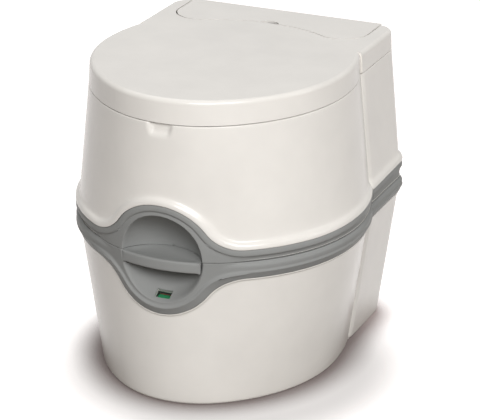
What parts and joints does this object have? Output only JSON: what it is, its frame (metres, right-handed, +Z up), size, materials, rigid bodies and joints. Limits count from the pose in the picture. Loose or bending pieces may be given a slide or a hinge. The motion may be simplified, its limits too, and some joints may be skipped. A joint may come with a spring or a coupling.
{
  "type": "portable toilet",
  "caption": "Portable toilet in two stacked tanks with a hinged lid and seat, a bowl, a pump flush under a rear cover, a slide valve with a front handle and a swing-out spout.",
  "frame": {"origin": "on the floor under the middle of the overall box", "axes": "+Z up, front with the valve handle at -Y, +X to the right of someone who faces the back from the front"},
  "size_m": [0.4216, 0.4493, 0.4479],
  "materials": {
    "white_shell": "gloss",
    "grey_trim": "satin",
    "clear_window": "clear",
    "green_flag": "satin",
    "red_flag": "satin",
    "inner_white": "satin",
    "grey_fitting": "satin",
    "rubber_seal": "matte",
    "soft_hose": "satin",
    "steel": "satin"
  },
  "bodies": {
    "waste_section": {"waste_tank": "white_shell", "lower_band": "grey_trim", "indicator_window": "clear_window", "valve_base": "inner_white", "valve_cover": "inner_white", "valve_screws": "steel", "blade_seal": "rubber_seal", "lip_seal": "rubber_seal", "spout_seal": "rubber_seal", "float_bracket": "inner_white", "float_pin": "steel", "vent_spring": "steel"},
    "flush_section": {"upper_casing": "white_shell", "upper_band": "grey_trim", "tank_floor": "inner_white", "bowl": "white_shell", "bowl_gasket": "rubber_seal", "pump_barrel": "inner_white", "pump_spring": "steel", "flush_hose": "soft_hose", "flush_nozzle": "inner_white", "filler_gasket": "rubber_seal", "hinge_pins": "steel", "cover_pins": "steel", "latch_keeper": "inner_white"},
    "seat": {"seat_ring": "white_shell", "seat_buffers": "rubber_seal"},
    "lid": {"lid_shell": "white_shell", "lid_buffers": "rubber_seal"},
    "service_cover": {"rear_cover": "white_shell"},
    "plunger": {"pump_knob": "grey_fitting", "pump_rod": "steel", "pump_piston": "inner_white", "piston_seal": "rubber_seal"},
    "filler_cap": {"fill_cap": "grey_fitting"},
    "valve_gate": {"valve_blade": "inner_white", "valve_handle": "grey_trim"},
    "spout": {"pour_spout": "grey_fitting"},
    "spout_end_cap": {"spout_cap": "grey_fitting", "cap_seal": "rubber_seal"},
    "vent": {"vent_button": "grey_fitting", "vent_disc": "inner_white"},
    "gauge": {"float_rod": "inner_white", "gauge_float": "inner_white", "flag_green": "green_flag", "flag_red": "red_flag"},
    "latch": {"rear_latch": "grey_fitting"}
  },
  "joints": [
    {"name": "section_lift", "type": "slide", "parent": "waste_section", "child": "flush_section", "axis": [0, 0, 1], "range_m": [0, 0.3]},
    {"name": "seat_hinge", "type": "hinge", "parent": "flush_section", "child": "seat", "pos_m": [0, 0.213, 0.431], "axis": [-1, 0, 0], "range_deg": [0, 95]},
    {"name": "lid_hinge", "type": "hinge", "parent": "seat", "child": "lid", "pos_m": [0, 0.213, 0.431], "axis": [1, 0, 0], "range_deg": [-100, 0]},
    {"name": "cover_hinge", "type": "hinge", "parent": "flush_section", "child": "service_cover", "pos_m": [0, 0.218, 0.425], "axis": [1, 0, 0], "range_deg": [-80, 0]},
    {"name": "flush_plunger", "type": "slide", "parent": "flush_section", "child": "plunger", "axis": [0, 0, -1], "range_m": [0, 0.035], "stiffness_N_per_m": 300, "springref_m": -0.03, "deforming": ["pump_spring"]},
    {"name": "filler_cap_turn", "type": "hinge", "parent": "flush_section", "child": "filler_cap", "pos_m": [0.095, 0.172, 0.412], "axis": [0, 0, 1], "range_deg": [0, 90]},
    {"name": "valve_slide", "type": "slide", "parent": "waste_section", "child": "valve_gate", "axis": [0, -1, 0], "range_m": [0, 0.108]},
    {"name": "spout_swing", "type": "hinge", "parent": "waste_section", "child": "spout", "pos_m": [-0.075, 0.192, 0.165], "axis": [0, 0, 1], "range_deg": [0, 95]},
    {"name": "spout_cap_turn", "type": "hinge", "parent": "spout", "child": "spout_end_cap", "pos_m": [0.075, 0.192, 0.165], "axis": [1, 0, 0], "range_deg": [0, 90]},
    {"name": "vent_push", "type": "slide", "parent": "waste_section", "child": "vent", "axis": [0, -1, 0], "range_m": [0, 0.005], "stiffness_N_per_m": 400, "springref_m": -0.005, "deforming": ["vent_spring"]},
    {"name": "level_float", "type": "hinge", "parent": "waste_section", "child": "gauge", "pos_m": [0, -0.19664, 0.14231], "axis": [1, 0, 0], "range_deg": [0, 65]},
    {"name": "latch_slide", "type": "slide", "parent": "waste_section", "child": "latch", "axis": [1, 0, 0], "range_m": [0, 0.011]}
  ]
}
